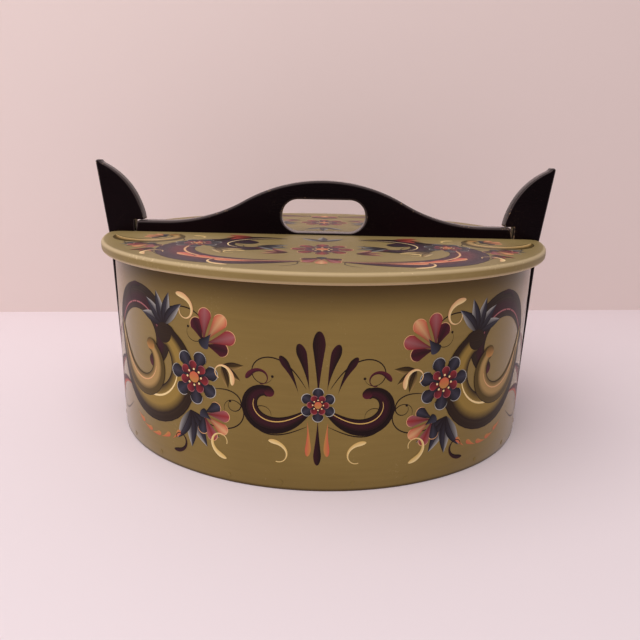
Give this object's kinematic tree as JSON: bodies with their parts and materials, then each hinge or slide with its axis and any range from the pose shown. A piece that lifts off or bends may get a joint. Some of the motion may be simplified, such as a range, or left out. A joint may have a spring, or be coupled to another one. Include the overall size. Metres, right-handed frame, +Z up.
{
  "type": "bentwood lidded box",
  "caption": "Oval bentwood box with a flat overhanging lid, an arched plank handle with a finger slot and sprung hooked uprights that lock the lid down.",
  "frame": {"origin": "middle of the base, on the surface the box stands on", "axes": "+X along the handle, from the left upright to the right one; +Y from the front to the back seam; +Z up"},
  "size_m": [0.345, 0.2988, 0.1929],
  "materials": {
    "olive_paint": "satin olive oil paint with painted scrollwork",
    "black_lacquer": "glossy black lacquer",
    "bare_wood": "bare aged softwood",
    "root_fibre": "split root, dull"
  },
  "bodies": {
    "box": {"side_band": "olive_paint", "seam_lacing": "root_fibre", "bottom_board": "bare_wood", "bottom_pegs": "bare_wood", "upright_pegs": "black_lacquer"},
    "left_upright": {"left_upright": "black_lacquer"},
    "right_upright": {"right_upright": "black_lacquer"},
    "lid": {"lid_board": "olive_paint", "left_batten": "bare_wood", "right_batten": "bare_wood", "batten_pegs": "bare_wood", "handle": "black_lacquer", "handle_dowels": "bare_wood"}
  },
  "joints": [
    {"name": "lid_lift", "type": "slide", "parent": "box", "child": "lid", "axis": [0, 0, 1], "range_m": [0, 0.1]},
    {"name": "left_upright_flex", "type": "hinge", "parent": "box", "child": "left_upright", "pos_m": [-0.15935, 0, 0.003], "axis": [0, -1, 0], "range_deg": [0, 3.5], "stiffness_Nm_per_rad": 30, "deforming": ["left_upright"]},
    {"name": "right_upright_flex", "type": "hinge", "parent": "box", "child": "right_upright", "pos_m": [0.15935, 0, 0.003], "axis": [0, 1, 0], "range_deg": [0, 3.5], "stiffness_Nm_per_rad": 30, "deforming": ["right_upright"]}
  ]
}
